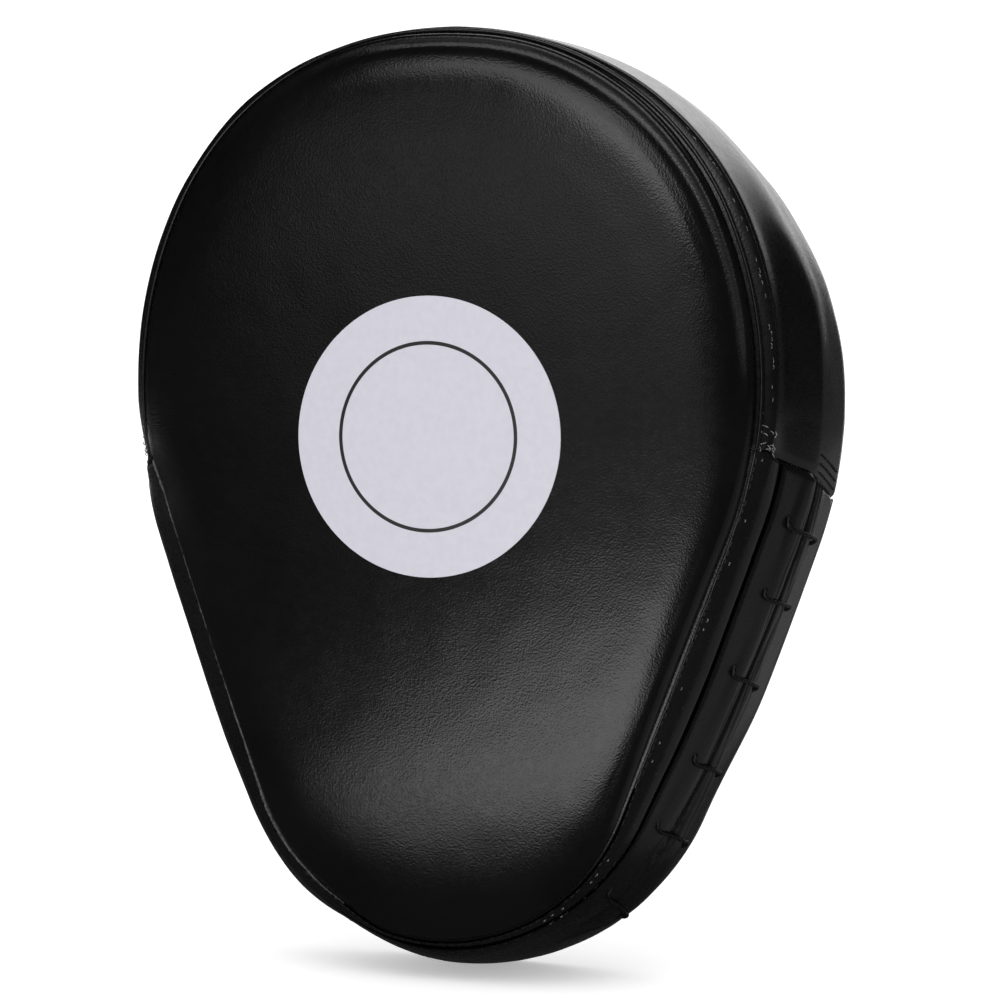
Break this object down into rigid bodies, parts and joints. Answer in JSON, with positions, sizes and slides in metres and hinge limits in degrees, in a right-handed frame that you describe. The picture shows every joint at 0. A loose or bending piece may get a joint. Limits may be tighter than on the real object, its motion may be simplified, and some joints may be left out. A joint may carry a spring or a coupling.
{
  "type": "focus mitt",
  "caption": "Egg-shaped boxing focus mitt with a crowned striking face and printed target, laced side wall, padded rim, palm ball, finger hood and hook-and-loop wrist strap.",
  "frame": {"origin": "middle of the hand seat, on the surface of the palm panel", "axes": "+X towards the thumb side (the viewer's right when the striking face is towards them), +Y out of the back of the mitt towards the wearer, +Z towards the fingertips"},
  "size_m": [0.2016, 0.0739, 0.2578],
  "materials": {
    "black_hide": "semi-gloss pebbled coated hide, black",
    "target_white": "screen-printed vinyl film, pale lavender grey",
    "target_black": "screen-printed vinyl film, black",
    "latex_foam": "open-cell latex foam, cream",
    "core_foam": "closed-cell foam, dark grey",
    "palm_suede": "brushed suede-like hide, charcoal black",
    "lining_cloth": "knitted lining, black",
    "lacing": "waxed round cord, black-brown",
    "binding_tape": "folded woven binding tape, black",
    "strap_hide": "two-ply coated hide with edge stitching, black",
    "hook_tape": "hook tape, black",
    "loop_tape": "loop tape, black",
    "eyelet_metal": "gunmetal eyelets",
    "pull_rubber": "moulded rubber, black"
  },
  "bodies": {
    "mitt": {"face_panel": "black_hide", "target_outer_ring": "target_white", "target_line_ring": "target_black", "target_bullseye": "target_white", "strike_foam": "latex_foam", "core_foam": "core_foam", "palm_foam": "core_foam", "palm_panel": "palm_suede", "front_wall_strip": "black_hide", "side_band_front": "black_hide", "side_band_rear": "black_hide", "lacing_cord": "lacing", "rim_foam": "core_foam", "rim_cover": "black_hide", "rim_piping": "binding_tape", "palm_ball_core": "core_foam", "palm_ball_cover": "palm_suede", "hood_gusset": "black_hide", "hood_back_panel": "black_hide", "hood_foam": "core_foam", "hood_lining": "lining_cloth", "hood_binding": "binding_tape", "little_outer_web": "lining_cloth", "ring_little_web": "lining_cloth", "middle_ring_web": "lining_cloth", "index_middle_web": "lining_cloth", "thumb_web": "lining_cloth", "vent_eyelets": "eyelet_metal", "strap_anchor": "strap_hide", "strap_keeper": "strap_hide", "strap_loop_patch": "loop_tape"},
    "strap": {"wrist_strap": "strap_hide", "strap_hook_patch": "hook_tape", "strap_pull_tab": "pull_rubber"}
  },
  "joints": [
    {"name": "strap_opening", "type": "hinge", "parent": "mitt", "child": "strap", "pos_m": [-0.0549, 0.019, -0.058], "axis": [0, 0, 1], "range_deg": [0, 120]}
  ]
}
